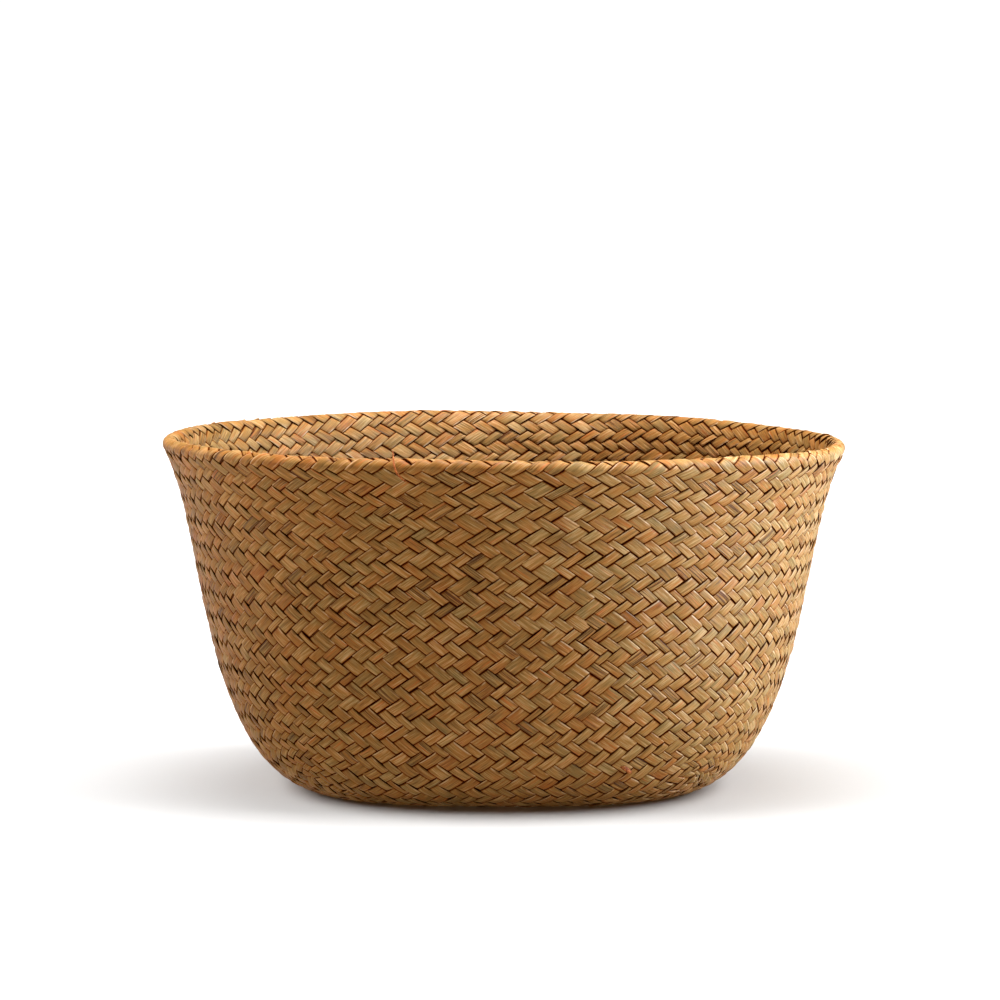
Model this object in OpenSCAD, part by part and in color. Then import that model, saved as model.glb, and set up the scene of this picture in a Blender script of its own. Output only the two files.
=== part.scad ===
// Open basket plaited from seagrass.
// Two families of flat strands climb the wall, one leaning right and one leaning left.
// They start at the edge of a flat plaited base and turn over a rounded rim.

/* [Basket] */
// Outside diameter over the rim
rim_diameter = 320; // [240:1:400]
// Height from the floor to the top of the rim
basket_height = 163; // [120:1:220]
// Diameter of the flat that rests on the floor
base_diameter = 168; // [140:1:180]
// How far the corners of the base stand out, as a share of its radius
squareness = 0.11; // [0:0.01:0.14]

/* [Weave] */
// Strands that climb in each direction
strand_count = 112; // [84:28:140]
// Thickness of one strand
strand_thickness = 1.1; // [0.8:0.1:1.3]
// Width of a strand as a share of its spacing
strand_fill = 0.92; // [0.8:0.01:0.95]
// Gap between the two layers of strands
layer_gap = 0.4; // [0.2:0.1:0.5]

/* [Rim] */
// Radius of the rounded lip
lip_radius = 3.4; // [3:0.1:3.8]
// How far the hem hangs down inside, from the top of the rim
hem_depth = 36; // [20:1:45]
// Thickness of the hem
hem_thickness = 2.2; // [1.6:0.1:3]

/* [Loose fibre] */
// Thickness of the torn fibre that stands up at the rim
fibre_thickness = 1; // [0.8:0.1:1.4]
// Bearing of the torn fibre, counted from the right-hand side
fibre_bearing = 252; // [245:1:265]

/* [Hidden] */
GROUPS = 28;
group_size = strand_count / GROUPS;
function pad(n) = str(n < 10 ? "0" : "", n);
function group_name(family, g) = str(family, "_strands_", pad(g));

base_radius = base_diameter / 2;
rim_radius = rim_diameter / 2;
spacing_angle = 360 / strand_count;
// Distance between neighbouring strands, measured across them. At the edge of the
// base they stand nearly upright, so it is a little less than their spacing there.
pitch_share = 0.945;
strand_pitch = pitch_share * 2 * PI * base_radius / strand_count;

// The wall's outer outline is a cubic curve from the base edge to just under the lip.
// It leaves the floor level, rounds the shoulder, and climbs to an upright neck.
// A flare added to its end leans it outwards, to meet the lip where the lip leans the same way.
lip_lean = 25;
wall_top = basket_height - lip_radius * (1 + sin(lip_lean));
flare = 3.9 * lip_radius;
flare_sharpness = 6;
neck_radius = rim_radius - lip_radius * (1 - cos(lip_lean)) - flare;
// How far the outline pulls out along the floor, as a share of the rim's radius
shoulder_pull = 0.33;
// Height from which it pulls upright, as a share of the wall's
neck_pull = 0.66;
outline = [
    [base_radius, 0],
    [base_radius + shoulder_pull * rim_radius, 0],
    [neck_radius, neck_pull * wall_top],
    [neck_radius, wall_top]
];

function bezier(v) =
    pow(1 - v, 3) * outline[0] + 3 * pow(1 - v, 2) * v * outline[1]
    + 3 * (1 - v) * pow(v, 2) * outline[2] + pow(v, 3) * outline[3];
function wall_outline(v) = bezier(v) + [flare * pow(v, flare_sharpness), 0];

// Direction of the outline, by a small step along it
step = 0.001;
function outline_velocity(v) = (wall_outline(v + step) - wall_outline(v - step)) / (2 * step);

// A point on the outline, moved towards the inside of the basket by depth
function outline_inset(v, depth) =
    let (velocity = outline_velocity(v), along = velocity / norm(velocity))
    wall_outline(v) + depth * [-along[1], along[0]];

// The plan is a rounded square at the base and turns into a circle further up.
square_reach = 0.9;
square_fall = 1.2;
function plan_factor(angle, v) =
    1 + squareness * pow(max(0, 1 - v / square_reach), square_fall) * (1 - cos(4 * angle)) / 2;

function wall_point(angle, v, depth) =
    let (p = outline_inset(v, depth), r = p[0] * plan_factor(angle, v))
    [r * cos(angle), r * sin(angle), p[1]];

// One row of the weave up the wall: two strands cross after half a spacing around,
// and the strand's own pitch then gives the climb.
function row_climb(v) =
    let (spacing = 2 * PI * wall_outline(v)[0] / strand_count)
    spacing / 2 * strand_pitch / sqrt(pow(spacing, 2) - pow(strand_pitch, 2));
function next_row(v) = v + row_climb(v) / norm(outline_velocity(v));
rows = [for (v = 0; v < 1; v = next_row(v)) v];
last_row = len(rows) - 1;

// Each strand is cut into straight lengths, shorter near the base, where the wall bends.
lengths = 9;
station_bias = 1.2;
stations = [for (m = [0:lengths]) round(last_row * pow(m / lengths, station_bias))];

// One strand of the wall. Lean is 1 for right and -1 for left as it climbs.
// Every station has four corners: two outside and two inside.
module wall_strand(bearing, lean, depth) {
    half_angle = strand_fill * spacing_angle / 2;
    corners = [[-half_angle, 0], [half_angle, 0],
               [half_angle, strand_thickness], [-half_angle, strand_thickness]];
    points = [
        for (row = stations)
            for (c = corners)
                wall_point(bearing + lean * (c[0] + row * spacing_angle / 2), rows[row], depth + c[1])
    ];
    sides = [
        for (m = [0:lengths - 1])
            for (c = [0:3])
                let (a = 4 * m + c, b = 4 * m + (c + 1) % 4)
                each [[a, b, a + 4], [b, b + 4, a + 4]]
    ];
    top = 4 * lengths;
    ends = [[0, 3, 2], [0, 2, 1], [top, top + 1, top + 2], [top, top + 2, top + 3]];
    faces = concat(sides, ends);
    polyhedron(points, lean > 0 ? [for (f = faces) [f[0], f[2], f[1]]] : faces);
}

// A group of neighbouring strands
module strand_group(g, lean, depth) {
    for (n = [0:group_size - 1])
        wall_strand((group_size * g + n) * spacing_angle, lean, depth);
}

module right_strands(g) {
    color("burlywood") strand_group(g, 1, 0);
}

module left_strands(g) {
    color("tan") strand_group(g, -1, strand_thickness + layer_gap);
}

// The rounded-square outline of the flat base
module base_plan() {
    polygon([for (angle = [0:5:355]) base_radius * plan_factor(angle, 0) * [cos(angle), sin(angle)]]);
}

// Parallel strips that fill the base
module base_strips(turn, height) {
    reach = base_radius * (1 + squareness);
    count = ceil(reach / strand_pitch);
    translate([0, 0, height]) intersection() {
        rotate([0, 0, turn])
            for (n = [-count:count - 1])
                translate([-reach, n * strand_pitch, 0])
                    cube([2 * reach, strand_fill * strand_pitch, strand_thickness]);
        linear_extrude(strand_thickness) base_plan();
    }
}

module base_strands_lower() {
    color("peru") base_strips(45, 0);
}

module base_strands_upper() {
    color("burlywood") base_strips(-45, strand_thickness);
}

// The mat turns over a rounded lip and hangs down inside as a hem, clear of the wall.
hem_clearance = 1;
hem_outer_depth = 2 * strand_thickness + layer_gap + hem_clearance;
// The hem follows the outline from this share of its course to the end.
hem_start = 0.78;
hem_steps = 8;
module rim_fold() {
    lip_height = basket_height - lip_radius;
    hem_levels = [for (n = [0:hem_steps]) hem_start + (1 - hem_start) * n / hem_steps];
    hem_outside = [for (v = hem_levels) outline_inset(v, hem_outer_depth)];
    hem_inside = [for (v = hem_levels) outline_inset(v, hem_outer_depth + hem_thickness)];
    reversed = [for (n = [hem_steps:-1:0]) hem_inside[n]];
    color("wheat") rotate_extrude($fn = 144) intersection() {
        union() {
            translate([rim_radius - lip_radius, lip_height]) circle(lip_radius, $fn = 32);
            polygon(concat(hem_outside, reversed));
        }
        translate([0, basket_height - hem_depth]) square([rim_radius, hem_depth]);
    }
}

// A torn fibre that stands up from the rim and lies down its outer side.
// Its tip, bend and foot each have a place sideways and a height from the top of the rim.
fibre_tip = [0, 4 * fibre_thickness];
fibre_bend = [2.5, -1.4 * lip_radius];
fibre_foot = [6.5, -2.6 * lip_radius];
module loose_fibre() {
    tip = [rim_radius - lip_radius, fibre_tip[0], basket_height + fibre_tip[1]];
    bend = [rim_radius + fibre_thickness / 2, fibre_bend[0], basket_height + fibre_bend[1]];
    foot = [rim_radius, fibre_foot[0], basket_height + fibre_foot[1]];
    color("chocolate") rotate([0, 0, fibre_bearing])
        for (ends = [[tip, bend], [bend, foot]])
            hull()
                for (p = ends)
                    translate(p) sphere(fibre_thickness / 2, $fn = 12);
}

for (g = [1:GROUPS]) right_strands(g);
for (g = [1:GROUPS]) left_strands(g);
base_strands_lower();
base_strands_upper();
rim_fold();
loose_fibre();
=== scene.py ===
import math

import bpy
import mathutils
import numpy as np
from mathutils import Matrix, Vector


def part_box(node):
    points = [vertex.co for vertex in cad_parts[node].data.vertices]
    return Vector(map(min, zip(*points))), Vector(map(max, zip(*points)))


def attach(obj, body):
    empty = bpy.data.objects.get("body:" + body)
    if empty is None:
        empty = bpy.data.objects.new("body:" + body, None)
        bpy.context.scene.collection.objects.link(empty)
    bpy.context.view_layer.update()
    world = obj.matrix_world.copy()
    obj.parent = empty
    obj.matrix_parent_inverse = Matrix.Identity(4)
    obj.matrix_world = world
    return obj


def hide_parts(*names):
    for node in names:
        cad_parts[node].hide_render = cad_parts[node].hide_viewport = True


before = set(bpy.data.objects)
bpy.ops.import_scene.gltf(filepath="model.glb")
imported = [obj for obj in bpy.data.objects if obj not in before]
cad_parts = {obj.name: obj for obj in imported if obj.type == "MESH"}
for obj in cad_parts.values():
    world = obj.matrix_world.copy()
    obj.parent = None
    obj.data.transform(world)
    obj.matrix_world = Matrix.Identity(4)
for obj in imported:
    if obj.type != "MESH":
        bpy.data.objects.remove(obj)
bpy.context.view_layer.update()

MM = 0.001


def smooth(x):
    """A soft step from 0 to 1."""
    x = np.clip(x, 0, 1)
    return x * x * (3 - 2 * x)


# ---------------------------------------------------------------- sizes from the frame

def node_box(name):
    """Lowest and highest corner of a node's box."""
    low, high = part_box(name)
    return np.array(low), np.array(high)


# Strands in each wall node
GROUP_SIZE = 4
WALL_GROUPS = sum(name.startswith("right_strands_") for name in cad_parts)
STRANDS = GROUP_SIZE * WALL_GROUPS
# The base is a rounded square.
SIDES = 4
PER_SIDE = STRANDS // SIDES

rim_low, rim_high = node_box("rim_fold")
RIM_RADIUS = rim_high[0]
HEIGHT = rim_high[2]
BASE_RADIUS = node_box("base_strands_lower")[1][0]
LIP_RADIUS = 3.4 * MM
# Where the wall meets the lip's own curve, both lean out this far from upright.
LIP_LEAN = math.radians(25)
# The folded edge ends a little above the lowest point of the solid it replaces.
HEM_DEPTH = HEIGHT - rim_low[2] - 2 * MM

# The mat is two strands thick.
HALF_WALL = 1.15 * MM
# Centre of a strand above or below the middle of the mat
LAYER_OFFSET = 0.52 * MM
HALF_THICKNESS = 0.52 * MM

# The flat mat has its strands at 45 degrees to the sides of the square base.
STRAND_PITCH = 4.45 * MM
SQUARE_SPACING = math.sqrt(2) * STRAND_PITCH
HALF_SIDE = PER_SIDE / 2 * SQUARE_SPACING


# ---------------------------------------------------------------- outline of the wall

# How far the outline's control points stand out and up, as shares of the rim's radius and the wall's height
SHOULDER_PULL = 0.33
NECK_PULL = 0.66
# The flare under the lip, in lip radii, and how late it sets in
FLARE = 3.9
FLARE_POWER = 6
# The middle of the hem lies this far in from the outline, in half thicknesses of the mat. From the lip
# it comes in over these places of the outline, which goes from 0 at the base edge to 1 at the lip.
HEM_GAP = 3.2
HEM_BEND_LOW, HEM_BEND_SPAN = 0.86, 0.13


def outline(v):
    """Outer outline of the wall: a cubic curve from the base edge to the lip, flared at its end."""
    wall_top = HEIGHT - LIP_RADIUS * (1 + math.sin(LIP_LEAN))
    flare = FLARE * LIP_RADIUS
    neck = RIM_RADIUS - LIP_RADIUS * (1 - math.cos(LIP_LEAN)) - flare
    shoulder = BASE_RADIUS + SHOULDER_PULL * RIM_RADIUS
    v = np.asarray(v)
    a, b, c, d = (1 - v) ** 3, 3 * (1 - v) ** 2 * v, 3 * (1 - v) * v ** 2, v ** 3
    radius = a * BASE_RADIUS + b * shoulder + (c + d) * neck + flare * v ** FLARE_POWER
    height = c * NECK_PULL * wall_top + d * wall_top
    return np.stack([radius, height], -1)


def inset(v, depth):
    """Points of the outline moved towards the inside of the basket."""
    step = 1e-4
    along = outline(v + step) - outline(v - step)
    along /= np.linalg.norm(along, axis=-1, keepdims=True)
    return outline(v) + np.reshape(depth, (-1, 1)) * np.stack([-along[:, 1], along[:, 0]], -1)


def middle_line():
    """The middle of the mat: across the base, up the wall, over the lip and down the hem."""
    base = np.stack([np.linspace(0, BASE_RADIUS - MM, 100), np.full(100, HALF_WALL)], -1)
    wall = inset(np.linspace(0.005, 0.995, 800), HALF_WALL)
    turn = np.linspace(-LIP_LEAN, math.pi - LIP_LEAN, 60)
    loop = LIP_RADIUS - HALF_WALL
    centre = np.array([RIM_RADIUS - LIP_RADIUS, HEIGHT - LIP_RADIUS])
    lip = centre + loop * np.stack([np.cos(turn), np.sin(turn)], -1)
    down = np.linspace(0.99, 0.7, 200)
    behind_wall = HEM_GAP * HALF_WALL
    drawn_in = smooth((down - HEM_BEND_LOW) / HEM_BEND_SPAN)
    hem = inset(down, behind_wall + (LIP_RADIUS + loop - behind_wall) * drawn_in)
    points = np.concatenate([base, wall, lip, hem])
    length = np.r_[0, np.cumsum(np.linalg.norm(np.diff(points, axis=0), axis=1))]
    grid = np.arange(0, length[-1], 0.1 * MM)
    line = np.stack([np.interp(grid, length, points[:, c]) for c in (0, 1)], -1)
    # The corners between the four parts are rounded off.
    kernel = np.hanning(9)
    kernel /= kernel.sum()
    padded = np.pad(line, ((4, 4), (0, 0)), mode="edge")
    line = np.stack([np.convolve(padded[:, c], kernel, "valid") for c in (0, 1)], -1)
    length = np.r_[0, np.cumsum(np.linalg.norm(np.diff(line, axis=0), axis=1))]
    return length, line


LINE_T, LINE = middle_line()
LINE_NORMAL = np.gradient(LINE, axis=0)[:, ::-1] * [1, -1]
LINE_NORMAL /= np.linalg.norm(LINE_NORMAL, axis=1, keepdims=True)
TOP_T = LINE_T[np.argmax(LINE[:, 1])]


def on_line(t):
    """Radius, height and outward normal of the mat at a distance t from the centre of the base."""
    radius = np.interp(t, LINE_T, LINE[:, 0])
    height = np.interp(t, LINE_T, LINE[:, 1])
    normal_r = np.interp(t, LINE_T, LINE_NORMAL[:, 0])
    normal_z = np.interp(t, LINE_T, LINE_NORMAL[:, 1])
    return radius, height, normal_r, normal_z


# ---------------------------------------------------------------- the weave's lattice
# A strand that leans right has a constant a, one that leans left has a constant b.
# (a + b) / 2 counts strands around the basket, and b - a counts rows up from the edge
# of the square base, below zero on the base itself.

MEAN_SQUARE = 4 / math.pi * math.log(1 + math.sqrt(2))
# Rows over which the rows' square outline turns round, at the middle of a side and at a corner
SQUARE_ROWS_MIDDLE = 50
SQUARE_ROWS_CORNER = 30
# Rows over which the strands' bearings go from a square's to evenly spread
TURN_ROWS = 34
# At the corners the base and shoulder stand out this much further, as far along the mat as the start,
# and less and less over the span after it.
CORNER_FLAT = 10 * MM
CORNER_START, CORNER_SPAN = 110 * MM, 120 * MM
# Rows from the base edge to the top of the lip, and how many more there are on the right
ROWS_TO_TOP = 61.8
MORE_ROWS = 2.5


def climb_table():
    """Distance along the middle line for each row, where a row climbs as far as the strand pitch gives."""
    t = MEAN_SQUARE * HALF_SIDE
    table = [t]
    while t < LINE_T[-1] + 40 * MM:
        radius = np.interp(t, LINE_T, LINE[:, 0])
        spacing = max(SQUARE_SPACING, 2 * math.pi * radius / STRANDS)
        t += spacing / 2 * STRAND_PITCH / math.sqrt(spacing ** 2 - STRAND_PITCH ** 2)
        table.append(t)
    return np.array(table)


CLIMB = climb_table()
ROWS_MADE = np.interp(TOP_T, CLIMB, np.arange(len(CLIMB)))


def superellipse(angle, inverse_power):
    """Radius of a rounded square with half side 1: a square at 0 and a circle at 0.5."""
    power = 1 / np.maximum(inverse_power, 1 / 300)
    total = np.abs(np.cos(angle)) ** power + np.abs(np.sin(angle)) ** power
    return total ** (-1 / power)


INVERSE_POWERS = np.linspace(0, 0.5, 80)
MEANS = np.array([superellipse(np.linspace(0, math.pi / 4, 200), i).mean() for i in INVERSE_POWERS])


def top_rows(angle):
    """Rows up to the lip at each bearing: a few more on the right than elsewhere."""
    bearing = np.degrees((angle + math.pi) % (2 * math.pi) - math.pi)
    rise, fall = smooth((bearing + 70) / 22), smooth((150 - bearing) / 110)
    return ROWS_TO_TOP + MORE_ROWS * rise * fall


def mat_place(a, b, side):
    """Bearing and distance along the middle line of a place in the mat."""
    around, rows = (a + b) / 2, b - a
    local = around - PER_SIDE * side - PER_SIDE / 2
    right = local * SQUARE_SPACING
    out = HALF_SIDE + rows * SQUARE_SPACING / 2
    base_angle = np.arctan2(right, np.maximum(out, 1e-6)) + side * math.pi / 2
    base_t = np.hypot(right, out)

    wall_side = np.floor(around / PER_SIDE)
    local = around - PER_SIDE * wall_side - PER_SIDE / 2
    even = local * math.pi / 2 / PER_SIDE
    square = np.arctan2(local, PER_SIDE / 2)
    share = np.clip(1 - rows / TURN_ROWS, 0, 1) ** 2
    turn = even + (square - even) * share
    wall_angle = turn + wall_side * math.pi / 2
    raw_rows = rows * ROWS_MADE / top_rows(wall_angle - math.pi / 2)
    corner = (1 - np.cos(4 * turn)) / 2
    fade_rows = SQUARE_ROWS_MIDDLE + (SQUARE_ROWS_CORNER - SQUARE_ROWS_MIDDLE) * corner
    inverse = 0.5 - 0.5 * np.clip(1 - rows / fade_rows, 0, 1) ** 1.5
    ring = HALF_SIDE * (superellipse(turn, inverse) - np.interp(inverse, INVERSE_POWERS, MEANS))
    wall_t = np.interp(raw_rows, np.arange(len(CLIMB)), CLIMB) + ring
    on_wall = rows >= 0
    return np.where(on_wall, wall_angle, base_angle) - math.pi / 2, np.where(on_wall, wall_t, base_t)


def mat_point(angle, t, height):
    """A point at a height over the middle of the mat, on the outer side where it is above zero."""
    corner = (1 - np.cos(4 * angle)) / 2
    shift = CORNER_FLAT * corner * (1 - smooth((t - CORNER_START) / CORNER_SPAN))
    shift = np.minimum(shift, t)
    radius, level, normal_r, normal_z = on_line(t - shift)
    up = level / HEIGHT
    radius = radius + shift + normal_r * height
    # The mouth isn't quite round or level: sway is outwards and lift upwards.
    sway = 0.8 * MM * np.sin(2 * angle + 0.9) + 0.5 * MM * np.sin(3 * angle + 2.1)
    lift = -1.4 * MM * np.cos(angle) - 0.7 * MM * np.cos(2 * angle) + 0.3 * MM * np.sin(7 * angle + 1)
    radius = radius + sway * up ** 2
    level = level + normal_z * height + lift * up ** 3
    return np.stack([radius * np.cos(angle), radius * np.sin(angle), level], -1)


# ---------------------------------------------------------------- strands
# Each long strand crosses the base. Its two ends climb the wall, one leaning right and one left.

random = np.random.default_rng(7)

# How far each edge between strands is off its even place, in strand widths; none at a side's ends
UNEVEN_EDGES = 0.24
edge_shift = random.uniform(-UNEVEN_EDGES, UNEVEN_EDGES, STRANDS)
edge_shift[::PER_SIDE] = 0


def left_edge_shift():
    """The same strands' edges, seen from the sides where they lean left."""
    shift = np.zeros(STRANDS)
    for side in range(SIDES):
        after = (side + 1) % SIDES
        for n in range(1, PER_SIDE):
            shift[PER_SIDE * side + n] = -edge_shift[PER_SIDE * after + PER_SIDE - n]
    return shift


EDGES = {1: edge_shift, -1: left_edge_shift()}
strand_width = random.normal(1.03, 0.03, STRANDS).clip(0.96, 1.1)
strand_tone = random.normal(0, 1, STRANDS)
strand_hue = random.normal(0, 1, STRANDS)

# Where a strand is looked at within two crossings, closer together where it dives
SAMPLES = np.array([0.0, 0.14, 0.32, 0.62, 1.0, 1.38, 1.68, 1.86])
# How much higher a strand's upper edge lies than its middle, as it laps over its neighbour
LAP = 0.13 * MM
# Lowest level of a strand, just clear of the studio floor
FLOOR_CONTACT = 0.02 * MM
# How squarely a strand steps from under to over, and how much it crowns where it is over
STEEPNESS = 2.4
CROWN = 0.12 * MM
# Random spread from float to float: width and place in strand widths, height and tilt at the edges
WIDTH_NOISE, PLACE_NOISE = 0.05, 0.02
HEIGHT_NOISE, TILT_NOISE = 0.09 * MM, 0.1 * MM
# How much of a float's tone and hue is its whole strand's and how much is its own
STRAND_TONE, FLOAT_TONE = 0.5, 0.7
STRAND_HUE, FLOAT_HUE = 0.45, 0.75
# Crossings made along each leg, past the end of the hem
LAST_STEP = 84
# Corners of a strand's cross-section, as a superellipse that is flat on its two faces
SECTION_ANGLES = np.radians([0, 14, 38, 72, 108, 142, 166, 180, 212, 258, 302, 338])
SECTION_X = np.sign(np.cos(SECTION_ANGLES)) * np.abs(np.cos(SECTION_ANGLES)) ** 0.4
SECTION_Y = np.sign(np.sin(SECTION_ANGLES)) * np.abs(np.sin(SECTION_ANGLES)) ** 0.3


def warp(edges, place):
    """Place in strand widths, given an unevenly spaced set of strand edges."""
    numbers = np.arange(-STRANDS, 2 * STRANDS + 1)
    shifted = numbers + edges[numbers % STRANDS]
    return np.interp(place, numbers, shifted)


def float_noise(steps, scale, seed):
    """A random value for each two crossings, blended where the strand is hidden."""
    first = math.floor(steps[0] / 2) - 2
    values = np.random.default_rng(seed).normal(0, scale, 120)
    place = steps / 2 - first - 0.5
    low = np.floor(place).astype(int)
    part = smooth((place - low - 0.3) / 0.4)
    return values[low] * (1 - part) + values[low + 1] * part


class Leg:
    """One end of a long strand, from the diagonal of the base to the hem."""

    def __init__(self, lean, index):
        self.lean, self.index = lean, index
        self.side, local = divmod(index, PER_SIDE)
        if lean > 0:
            self.strand = index
            first = -local
        else:
            self.strand = PER_SIDE * ((self.side + 1) % SIDES) + PER_SIDE - 1 - local
            first = local - PER_SIDE + 1
        blocks = np.arange(math.floor(first / 2), LAST_STEP // 2 + 1)
        steps = (2 * blocks[:, None] + SAMPLES).ravel()
        self.steps = np.r_[first, steps[steps > first + 1e-6]]
        self.sweep()

    def sweep(self):
        """Points of the leg's surface, and what they tell its material."""
        lean, steps, index = self.lean, self.steps, self.index
        own, other = EDGES[lean], EDGES[-lean]
        low, high = index + own[index], index + 1 + own[(index + 1) % STRANDS]
        middle, half = (low + high) / 2, (high - low) / 2
        seed = 1000 + 2 * index + (lean > 0)
        half = half * strand_width[self.strand] * (1 + float_noise(steps, WIDTH_NOISE, seed))
        middle = middle + float_noise(steps, PLACE_NOISE, seed + 500)
        if lean > 0:
            along = warp(other, index + steps)
            a = middle[:, None] + half[:, None] * SECTION_X
            b = np.repeat(along[:, None], len(SECTION_X), 1)
        else:
            along = warp(other, index + 1 - steps)
            b = middle[:, None] + half[:, None] * SECTION_X
            a = np.repeat(along[:, None], len(SECTION_X), 1)
        wave = lean * np.sin(math.pi / 2 * steps)
        over = np.tanh(STEEPNESS * wave) / math.tanh(STEEPNESS)
        crown = CROWN * np.maximum(wave, 0)
        height = LAYER_OFFSET * over + crown + float_noise(steps, HEIGHT_NOISE, seed + 1000)
        tilt = float_noise(steps, TILT_NOISE, seed + 1500) - lean * LAP
        heights = height[:, None] + HALF_THICKNESS * SECTION_Y + tilt[:, None] * SECTION_X
        angle, t = mat_place(a, b, self.side)
        self.points = mat_point(angle, t, heights)
        self.centre_t = t.mean(1)
        self.describe(half, wave, seed)

    def describe(self, half, wave, seed):
        """Attributes of each corner: its place on the strand, its colour and what lies on it."""
        steps = self.steps
        centre = self.points.mean(1)
        length = np.r_[0, np.cumsum(np.linalg.norm(np.diff(centre, axis=0), axis=1))]
        self.grain = np.stack(np.broadcast_arrays(
            half[:, None] * SECTION_X * STRAND_PITCH / MM,
            self.lean * length[:, None] / MM + 0 * SECTION_X,
            1.0 * self.strand), -1)
        tone = STRAND_TONE * strand_tone[self.strand] + float_noise(steps, FLOAT_TONE, seed + 2000)
        hue = STRAND_HUE * strand_hue[self.strand] + float_noise(steps, FLOAT_HUE, seed + 2500)
        frayed = float_noise(steps, 1, seed + 3000)
        self.tint = np.stack(np.broadcast_arrays(
            tone[:, None], hue[:, None], frayed[:, None] + 0 * SECTION_X), -1)
        # How far each corner is on top of the crossing strands, and towards the edge that laps over; the
        # material paints shade where a strand goes under and a highlight on the lapping edge
        face = np.sign(SECTION_Y)
        self.cover = np.stack(np.broadcast_arrays(
            wave[:, None] * face, -self.lean * SECTION_X * face + 0 * steps[:, None], 0.0), -1)

    def nearest(self, phase, t):
        """The sample at a phase of the weave, in crossings out of four, nearest to a distance t."""
        fits = np.abs((self.steps - phase) % 4) < 1e-6
        gap = np.where(fits, np.abs(self.centre_t - t), np.inf)
        return int(np.argmin(gap))


legs = [Leg(lean, index) for lean in (1, -1) for index in range(STRANDS)]
HEM_END = TOP_T + HEM_DEPTH
# The folded rim's own lengths of strand start this far below the top, on the outside.
RIM_LENGTH = 9 * MM


def cut_legs():
    """Each leg's samples for its length on the base, on the wall and in the folded rim.

    The first two cuts lie where another strand covers them.
    """
    for leg in legs:
        below, inside = (1, 3) if leg.lean > 0 else (3, 1)
        start = leg.nearest(below, BASE_RADIUS)
        turn = leg.nearest(inside, TOP_T - RIM_LENGTH)
        end = int(np.argmin(np.abs(leg.centre_t - HEM_END)))
        leg.parts = {"base": (0, start), "wall": (start, turn), "rim": (turn, end)}


cut_legs()


# What each strand tells its material
ATTRIBUTES = ("grain", "tint", "cover")


def tube(leg, part):
    """Vertices, faces and attributes of one length of a leg, closed at both ends."""
    first, last = leg.parts[part]
    points = leg.points[first:last + 1]
    rings, corners = points.shape[:2]
    ring = np.arange(rings - 1)[:, None] * corners
    corner = np.arange(corners)
    after = (corner + 1) % corners
    quads = np.stack([ring + corner, ring + after, ring + corners + after, ring + corners + corner], -1)
    quads = quads.reshape(-1, 4)
    # Both kinds of leg run upwards, but across them the numbering of strands goes the other way.
    faces = [tuple(q) for q in (quads[:, ::-1] if leg.lean > 0 else quads)]
    start_cap, end_cap = tuple(range(corners)), tuple((rings - 1) * corners + c for c in range(corners))
    if leg.lean > 0:
        end_cap = end_cap[::-1]
    else:
        start_cap = start_cap[::-1]
    faces += [start_cap, end_cap]
    values = [getattr(leg, label)[first:last + 1].reshape(-1, 3) for label in ATTRIBUTES]
    return points.reshape(-1, 3), faces, values


def strand_piece(name, lengths, material):
    """One object made of several strand lengths."""
    points, faces, values, offset = [], [], [], 0
    for leg, part in lengths:
        tube_points, tube_faces, tube_values = tube(leg, part)
        points.append(tube_points)
        values.append(tube_values)
        faces += [tuple(i + offset for i in face) for face in tube_faces]
        offset += len(tube_points)
    mesh = bpy.data.meshes.new(name)
    points = np.concatenate(points)
    # Floats that rest on the floor are pressed flat by it.
    points[:, 2] = np.maximum(points[:, 2], FLOOR_CONTACT)
    mesh.from_pydata(points.tolist(), [], faces)
    mesh.shade_smooth()
    for label, parts in zip(ATTRIBUTES, zip(*values)):
        attribute = mesh.attributes.new(label, "FLOAT_VECTOR", "POINT")
        attribute.data.foreach_set("vector", np.concatenate(parts).ravel())
    mesh.materials.append(material)
    piece = bpy.data.objects.new(name, mesh)
    bpy.context.scene.collection.objects.link(piece)
    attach(piece, "root")
    return piece


# ---------------------------------------------------------------- materials

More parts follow.
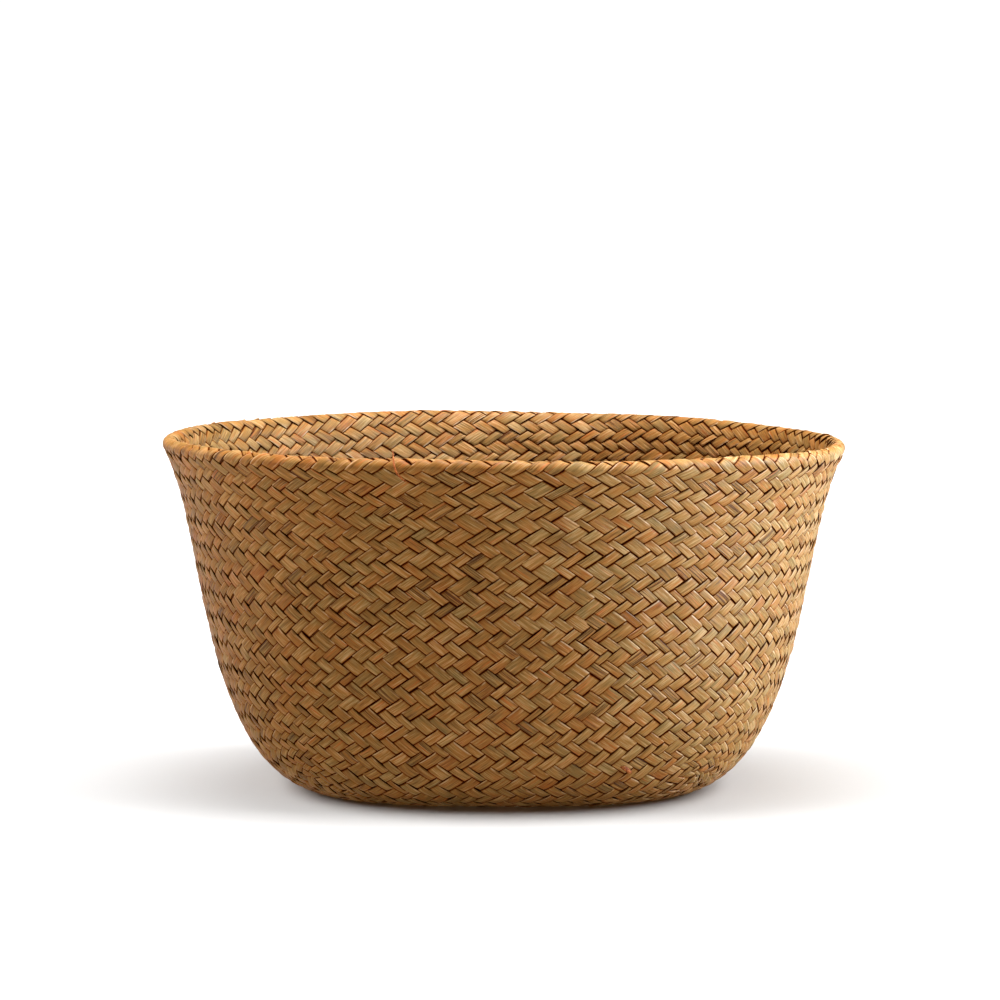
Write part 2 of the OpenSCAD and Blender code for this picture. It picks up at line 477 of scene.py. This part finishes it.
class Graph:
    """Short names for the nodes of one material."""

    def __init__(self, name):
        self.material = bpy.data.materials.new(name)
        self.material.use_nodes = True
        self.tree = self.material.node_tree
        self.shader = self.tree.nodes["Principled BSDF"]

    def node(self, kind, **settings):
        made = self.tree.nodes.new(kind)
        for key, value in settings.items():
            setattr(made, key, value)
        return made

    def feed(self, socket, value):
        if isinstance(value, bpy.types.NodeSocket):
            self.tree.links.new(value, socket)
        else:
            socket.default_value = value

    def attribute(self, name):
        return self.node("ShaderNodeAttribute", attribute_name=name).outputs["Vector"]

    def parts(self, vector):
        made = self.node("ShaderNodeSeparateXYZ")
        self.feed(made.inputs[0], vector)
        return made.outputs

    def math(self, operation, *values):
        made = self.node("ShaderNodeMath", operation=operation)
        for socket, value in zip(made.inputs, values):
            self.feed(socket, value)
        return made.outputs[0]

    def vector(self, *values):
        made = self.node("ShaderNodeCombineXYZ")
        for socket, value in zip(made.inputs, values):
            self.feed(socket, value)
        return made.outputs[0]

    def noise(self, vector, scale, detail):
        made = self.node("ShaderNodeTexNoise")
        self.feed(made.inputs["Vector"], vector)
        made.inputs["Scale"].default_value = scale
        made.inputs["Detail"].default_value = detail
        made.inputs["Roughness"].default_value = 0.55
        return made.outputs["Fac"]

    def ramp(self, value, *stops):
        made = self.node("ShaderNodeValToRGB")
        elements = made.color_ramp.elements
        while len(elements) < len(stops):
            elements.new(0.5)
        for element, (place, color) in zip(elements, stops):
            element.position = place
            element.color = (*color, 1)
        self.feed(made.inputs[0], value)
        return made.outputs["Color"]

    def mix(self, share, first, second, blend="MIX"):
        # Sockets 0, 6 and 7 of a colour mix are its share and its two colours, and 2 is what it makes.
        made = self.node("ShaderNodeMix", data_type="RGBA", blend_type=blend)
        for index, value in zip((0, 6, 7), (share, first, second)):
            if isinstance(value, tuple):
                value = (*value, 1)
            self.feed(made.inputs[index], value)
        return made.outputs[2]

    def range(self, value, low, high, to_low=0.0, to_high=1.0):
        made = self.node("ShaderNodeMapRange")
        for index, number in zip((0, 1, 2, 3, 4), (value, low, high, to_low, to_high)):
            self.feed(made.inputs[index], number)
        return made.outputs[0]

    def bump(self, height, distance):
        made = self.node("ShaderNodeBump")
        made.inputs["Strength"].default_value = 1.0
        made.inputs["Distance"].default_value = distance
        self.feed(made.inputs["Height"], height)
        self.feed(self.shader.inputs["Normal"], made.outputs[0])


def grey(value):
    return (value, value, value)


def weighted(g, *terms):
    """The sum of (value, weight) pairs."""
    total = g.math("MULTIPLY", *terms[0])
    for value, weight in terms[1:]:
        total = g.math("ADD", total, g.math("MULTIPLY", value, weight))
    return total


def grass_color(g, tone, hue, broad, fine, blotches):
    """From khaki through straw to rust, with dark streaks and pale ones."""
    shade = weighted(g, (hue, 0.07), (blotches, 0.65), (broad, 0.35))
    color = g.ramp(shade, (0.2, (0.141, 0.084, 0.023)), (0.4, (0.188, 0.094, 0.022)),
                   (0.54, (0.217, 0.093, 0.018)), (0.68, (0.220, 0.078, 0.013)),
                   (0.84, (0.202, 0.052, 0.007)))
    streak = weighted(g, (broad, 0.42), (fine, 0.58), (tone, 0.036))
    dark = g.ramp(streak, (0.34, (0.46, 0.36, 0.25)), (0.43, (0.82, 0.76, 0.67)), (0.55, grey(1.0)))
    color = g.mix(1.0, color, dark, "MULTIPLY")
    return g.mix(g.range(streak, 0.53, 0.70, 0.0, 0.5), color, (0.43, 0.28, 0.12))


def clear_of_painted_shade(g, cover, lap, streaks):
    """Share clear of painted shade: 1 in the open, 0 where a strand goes under another or its neighbour's
    edge, low on its own edge.
    """
    # The painted shade line round each float is broader in some places than in others.
    wander = g.math("MULTIPLY", g.math("SUBTRACT", streaks(4.0, 5.0, 2.0), 0.5), 0.3)
    ends = g.math("ADD", g.range(cover, 0.02, 0.28), wander)
    tucked = g.math("ADD", g.range(lap, -0.96, -0.72), g.math("MULTIPLY", wander, 2.0))
    lapping = g.range(lap, 1.0, 0.9, 0.25, 1.0)
    return g.math("MINIMUM", g.math("MINIMUM", ends, tucked), lapping)


def seagrass():
    """Dried seagrass: streaked along its fibres, each float its own tone, with painted shade where strands
    meet.
    """
    g = Graph("seagrass")
    across, along, strand = g.parts(g.attribute("grain"))
    tone, hue, frayed = g.parts(g.attribute("tint"))
    cover, lap, _ = g.parts(g.attribute("cover"))
    # Each strand reads its own part of the noise.
    place = g.math("MULTIPLY", strand, 7.31)

    def streaks(width, length, detail):
        """Noise drawn out along a strand, for features of a width and length in mm."""
        stretched = g.vector(g.math("DIVIDE", across, width), g.math("DIVIDE", along, length), place)
        return g.noise(stretched, 1.0, detail)

    broad = streaks(0.9, 16.0, 2.0)
    fine = streaks(0.3, 8.0, 2.0)
    blotches = streaks(3.5, 7.0, 3.0)
    color = grass_color(g, tone, hue, broad, fine, blotches)
    # Thin rust-coloured streaks
    color = g.mix(g.range(streaks(0.7, 22.0, 1.0), 0.65, 0.74, 0.0, 0.6), color, (0.31, 0.065, 0.009))
    # Here and there a pale painted highlight along the raised edge that laps over
    edge = g.math("MULTIPLY", g.range(lap, 0.7, 0.9), g.range(blotches, 0.48, 0.62, 0.0, 0.5))
    color = g.mix(edge, color, (0.50, 0.35, 0.18))
    # Cracks in a frayed float, darkened with painted shade
    crack = g.math("MULTIPLY", g.range(streaks(0.45, 40.0, 1.0), 0.55, 0.6), g.range(frayed, 0.9, 1.5))
    color = g.mix(g.math("MULTIPLY", crack, 0.8), color, (0.05, 0.015, 0.003))
    clear = clear_of_painted_shade(g, cover, lap, streaks)
    # Painted shade: dark red-brown where a strand goes under another, on its tucked edge and at the very
    # rim of its raised edge.
    painted_gap_shadow = g.ramp(clear, (0.0, (0.06, 0.01, 0.001)), (0.3, (0.34, 0.14, 0.04)),
                    (0.6, (0.86, 0.70, 0.52)), (0.9, grey(1.0)))
    color = g.mix(1.0, color, painted_gap_shadow, "MULTIPLY")
    g.feed(g.shader.inputs["Base Color"], color)
    g.feed(g.shader.inputs["Roughness"], g.range(broad, 0.3, 0.7, 0.45, 0.62))
    # Less reflection where the shade is painted.
    g.feed(g.shader.inputs["Specular IOR Level"], g.range(clear, 0.2, 0.9, 0.0, 0.07))
    g.bump(g.math("SUBTRACT", g.math("ADD", g.math("MULTIPLY", fine, 0.5), broad), crack), 0.3 * MM)
    return g.material


def rust_fibre():
    """A torn inner fibre: rust-coloured, mottled from dark to bright."""
    g = Graph("rust_fibre")
    place = g.node("ShaderNodeTexCoord").outputs["Object"]
    grain = g.noise(place, 1400.0, 2.0)
    color = g.ramp(grain, (0.35, (0.08, 0.016, 0.003)), (0.5, (0.17, 0.038, 0.007)),
                   (0.65, (0.34, 0.11, 0.025)))
    g.feed(g.shader.inputs["Base Color"], color)
    g.shader.inputs["Roughness"].default_value = 0.6
    g.shader.inputs["Specular IOR Level"].default_value = 0.05
    g.bump(grain, 0.1 * MM)
    return g.material


def floor_material():
    """A plain pale studio floor with very slight mottling."""
    g = Graph("studio_floor")
    place = g.node("ShaderNodeTexCoord").outputs["Object"]
    color = g.ramp(g.noise(place, 3.0, 2.0), (0.3, grey(0.54)), (0.7, grey(0.56)))
    g.feed(g.shader.inputs["Base Color"], color)
    g.shader.inputs["Roughness"].default_value = 0.9
    g.shader.inputs["Specular IOR Level"].default_value = 0.1
    return g.material


SEAGRASS = seagrass()
RUST = rust_fibre()


# ---------------------------------------------------------------- the basket's pieces

# The wall nodes are numbered from the right-hand side, and the weave from the front. To stand where its
# node stands, a woven group is counted a quarter turn on, less or more this many strands for its lean.
WEAVE_LEAD = 8
WALL_SHIFT = {1: STRANDS // 4 - WEAVE_LEAD, -1: STRANDS // 4 + WEAVE_LEAD}


def make_wall():
    """One piece of four neighbouring strands for each wall node, where that node stands."""
    for lean, family in ((1, "right"), (-1, "left")):
        family_legs = [leg for leg in legs if leg.lean == lean]
        for g in range(WALL_GROUPS):
            first = (GROUP_SIZE * g + WALL_SHIFT[lean]) % STRANDS
            members = [family_legs[(first + n) % STRANDS] for n in range(GROUP_SIZE)]
            node_name = f"{family}_strands_{g + 1:02d}"
            piece = strand_piece(f"woven_{node_name}", [(leg, "wall") for leg in members], SEAGRASS)
            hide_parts(node_name)


def make_base():
    """Strands of the base that run one way lie in one piece, as in the nodes they replace."""
    for name, ways in (("base_strands_lower", (0, 2)), ("base_strands_upper", (1, 3))):
        members = [leg for leg in legs if (leg.side + (leg.lean < 0)) % SIDES in ways]
        piece = strand_piece(f"woven_{name}", [(leg, "base") for leg in members], SEAGRASS)
        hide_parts(name)


def make_rim():
    """The folded lip and the hem, a piece for each quarter of each family."""
    for lean, family in ((1, "right"), (-1, "left")):
        for side in range(SIDES):
            members = [leg for leg in legs if leg.lean == lean and leg.side == side]
            piece = strand_piece(f"rim_{family}_{side + 1}", [(leg, "rim") for leg in members], SEAGRASS)
            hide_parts("rim_fold")


TUBE_CORNERS = 8


def smooth_path(path):
    """A rounded line of points along a path given by its steps."""
    path = np.array(path)
    place = np.linspace(0, len(path) - 1, 8 * len(path))
    line = np.stack([np.interp(place, np.arange(len(path)), path[:, c]) for c in range(3)], -1)
    for _ in range(6):
        line[1:-1] = (line[:-2] + 2 * line[1:-1] + line[2:]) / 4
    return line


def tapered_tube(name, path, radius, flatness, material):
    """A thin tapering fibre along a path of points."""
    centre = smooth_path(path)
    along = np.gradient(centre, axis=0)
    along /= np.linalg.norm(along, axis=1, keepdims=True)
    sideways = np.cross(along, [0.3, -1, 0.2])
    sideways /= np.linalg.norm(sideways, axis=1, keepdims=True)
    upwards = np.cross(sideways, along)
    share = np.linspace(0, 1, len(centre))
    size = radius * (0.25 + 0.75 * np.sin(math.pi * np.clip(share * 0.75 + 0.12, 0, 1)))
    turn = np.linspace(0, 2 * math.pi, TUBE_CORNERS, endpoint=False)[None, :, None]
    ring = np.cos(turn) * sideways[:, None] + flatness * np.sin(turn) * upwards[:, None]
    points = (centre[:, None] + size[:, None, None] * ring).reshape(-1, 3)
    n, last = TUBE_CORNERS, TUBE_CORNERS * (len(centre) - 1)
    faces = [(r + c, r + (c + 1) % n, r + n + (c + 1) % n, r + n + c)
             for r in range(0, last, n) for c in range(n)]
    faces += [tuple(reversed(range(n))), tuple(range(last, last + n))]
    mesh = bpy.data.meshes.new(name)
    mesh.from_pydata(points.tolist(), [], faces)
    mesh.shade_smooth()
    mesh.materials.append(material)
    piece = bpy.data.objects.new(name, mesh)
    bpy.context.scene.collection.objects.link(piece)
    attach(piece, "root")
    return piece


# Counted from the right-hand side, in degrees
FIBRE_BEARING = 252


def make_fibre():
    """The torn fibre that stands up at the rim and lies down its outer side."""
    bearing = math.radians(FIBRE_BEARING)
    out = np.array([math.cos(bearing), math.sin(bearing), 0])
    sideways = np.array([-out[1], out[0], 0])
    # Steps in from the rim, sideways, and down from the top of the rim
    steps = ((3.4, 0, -4.2), (2, 0.8, -1.2), (-0.6, 2, 1.8), (-1.1, 3.2, 4.8), (-0.6, 5, 7), (0.3, 7, 8.8))
    path = [out * (RIM_RADIUS - inwards * MM) + sideways * along * MM + [0, 0, HEIGHT - down * MM]
            for inwards, along, down in steps]
    piece = tapered_tube("torn_fibre", path, 0.45 * MM, 0.7, RUST)
    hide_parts("loose_fibre")


def make_torn_end():
    """The torn end of a strand, poking out low on the front."""
    # Bearing in degrees, distance along the middle line and height over the middle of the mat
    steps = ((-65.2, 132.4, 0.6), (-64.4, 132.2, 2.0), (-63.4, 131.2, 2.3), (-62.4, 129.6, 1.4))
    path = [mat_point(math.radians(bearing), np.array(t * MM), height * MM) for bearing, t, height in steps]
    piece = tapered_tube("torn_end", path, 1.1 * MM, 0.45, RUST)


make_wall()
make_base()
make_rim()
make_fibre()
make_torn_end()


# ---------------------------------------------------------------- floor, light and camera

FLOOR_RADIUS = 40.0
FLOOR_CORNERS = 96


def make_floor():
    """A round floor so wide that its far edge looks like the horizon."""
    mesh = bpy.data.meshes.new("studio_floor")
    turn = np.linspace(0, 2 * math.pi, FLOOR_CORNERS, endpoint=False)
    points = [(FLOOR_RADIUS * math.cos(t), FLOOR_RADIUS * math.sin(t), 0) for t in turn]
    mesh.from_pydata(points, [], [tuple(range(FLOOR_CORNERS))])
    mesh.materials.append(floor_material())
    floor = bpy.data.objects.new("studio_floor", mesh)
    bpy.context.scene.collection.objects.link(floor)
    return floor


def lit_collection(name, floor, floor_only):
    """A light's receivers: the floor alone, or everything but the floor."""
    receivers = bpy.data.collections.new(name + "_receivers")
    receivers.objects.link(floor)
    if not floor_only:
        receivers.collection_objects[0].light_linking.link_state = "EXCLUDE"
    return receivers


def make_sun(name, bearing, elevation, strength, softness, color, receivers):
    """A far soft light at a bearing counted from the right-hand side; all angles are in degrees."""
    light = bpy.data.lights.new(name, "SUN")
    light.energy = strength
    light.color = color
    light.angle = math.radians(softness)
    lamp = bpy.data.objects.new(name, light)
    lamp.rotation_euler = (math.radians(90 - elevation), 0, math.radians(bearing + 90))
    lamp.light_linking.receiver_collection = receivers
    bpy.context.scene.collection.objects.link(lamp)
    return lamp


def make_softbox(name, place, size, power, color, receivers):
    """A square soft light turned towards the basket, with its size in metres and its power in watts."""
    light = bpy.data.lights.new(name, "AREA")
    light.energy = power
    light.size = size
    light.color = color
    lamp = bpy.data.objects.new(name, light)
    lamp.location = place
    aim = mathutils.Vector(place) - mathutils.Vector((0, 0, HEIGHT / 2))
    lamp.rotation_euler = aim.to_track_quat("Z", "Y").to_euler()
    lamp.visible_camera = False
    lamp.light_linking.receiver_collection = receivers
    bpy.context.scene.collection.objects.link(lamp)


# Brightness of the studio's walls near the horizon and of the room above, and the levels between which
# one turns into the other, as the height of a direction 1 long
HORIZON_BRIGHTNESS, HORIZON_LEVEL = 1.05, 0.05
ROOM_BRIGHTNESS, ROOM_LEVEL = 0.06, 0.13


def make_world():
    """White near the horizon, as a lit studio wall is, and dim above."""
    world = bpy.data.worlds.new("studio")
    world.use_nodes = True
    tree = world.node_tree
    place = tree.nodes.new("ShaderNodeTexCoord")
    split = tree.nodes.new("ShaderNodeSeparateXYZ")
    ramp = tree.nodes.new("ShaderNodeValToRGB")
    levels = ((HORIZON_LEVEL, HORIZON_BRIGHTNESS), (ROOM_LEVEL, ROOM_BRIGHTNESS))
    for element, (level, brightness) in zip(ramp.color_ramp.elements, levels):
        element.position = level
        element.color = (*grey(brightness), 1)
    tree.links.new(place.outputs["Generated"], split.inputs[0])
    tree.links.new(split.outputs["Z"], ramp.inputs[0])
    tree.links.new(ramp.outputs["Color"], tree.nodes["Background"].inputs["Color"])
    bpy.context.scene.world = world


# Degrees below level
CAMERA_TILT = 5.223


def make_camera():
    """A long lens in front of the basket, tilted a little down."""
    camera = bpy.data.cameras.new("camera")
    camera.sensor_width = 36
    camera.lens = 152.9
    lens = bpy.data.objects.new("camera", camera)
    lens.location = (-1.5 * MM, -2.0, 0.315)
    lens.rotation_euler = (math.radians(90 - CAMERA_TILT), 0, 0)
    bpy.context.scene.collection.objects.link(lens)
    bpy.context.scene.camera = lens


studio_floor = make_floor()
floor_alone = lit_collection("floor_light", studio_floor, True)
all_but_floor = lit_collection("basket_light", studio_floor, False)
WHITE = grey(1.0)
make_sun("floor_overhead", 85, 84, 2.7, 36, WHITE, floor_alone)
make_sun("floor_right", 0, 40, 5.2, 50, WHITE, floor_alone)
make_sun("floor_left", 180, 40, 4.7, 50, WHITE, floor_alone)
make_sun("top", -80, 84, 13, 10, (1, 1.07, 1.3), all_but_floor)
make_softbox("key", (0.66, -0.1, 0.3), 0.45, 18.5, (0.75, 1.03, 1.6), all_but_floor)
make_softbox("left_fill", (-0.8, 0.15, 0.3), 0.4, 5, (1, 0.85, 0.65), all_but_floor)
# Light that the studio floor throws up at the basket's underside: the floor itself doesn't block it.
bounce = make_sun("bounce", -90, -65, 0.9, 50, (1, 1.02, 1.05), all_but_floor)
bounce.light_linking.blocker_collection = all_but_floor
make_world()
make_camera()
bpy.context.scene.view_settings.view_transform = "Standard"
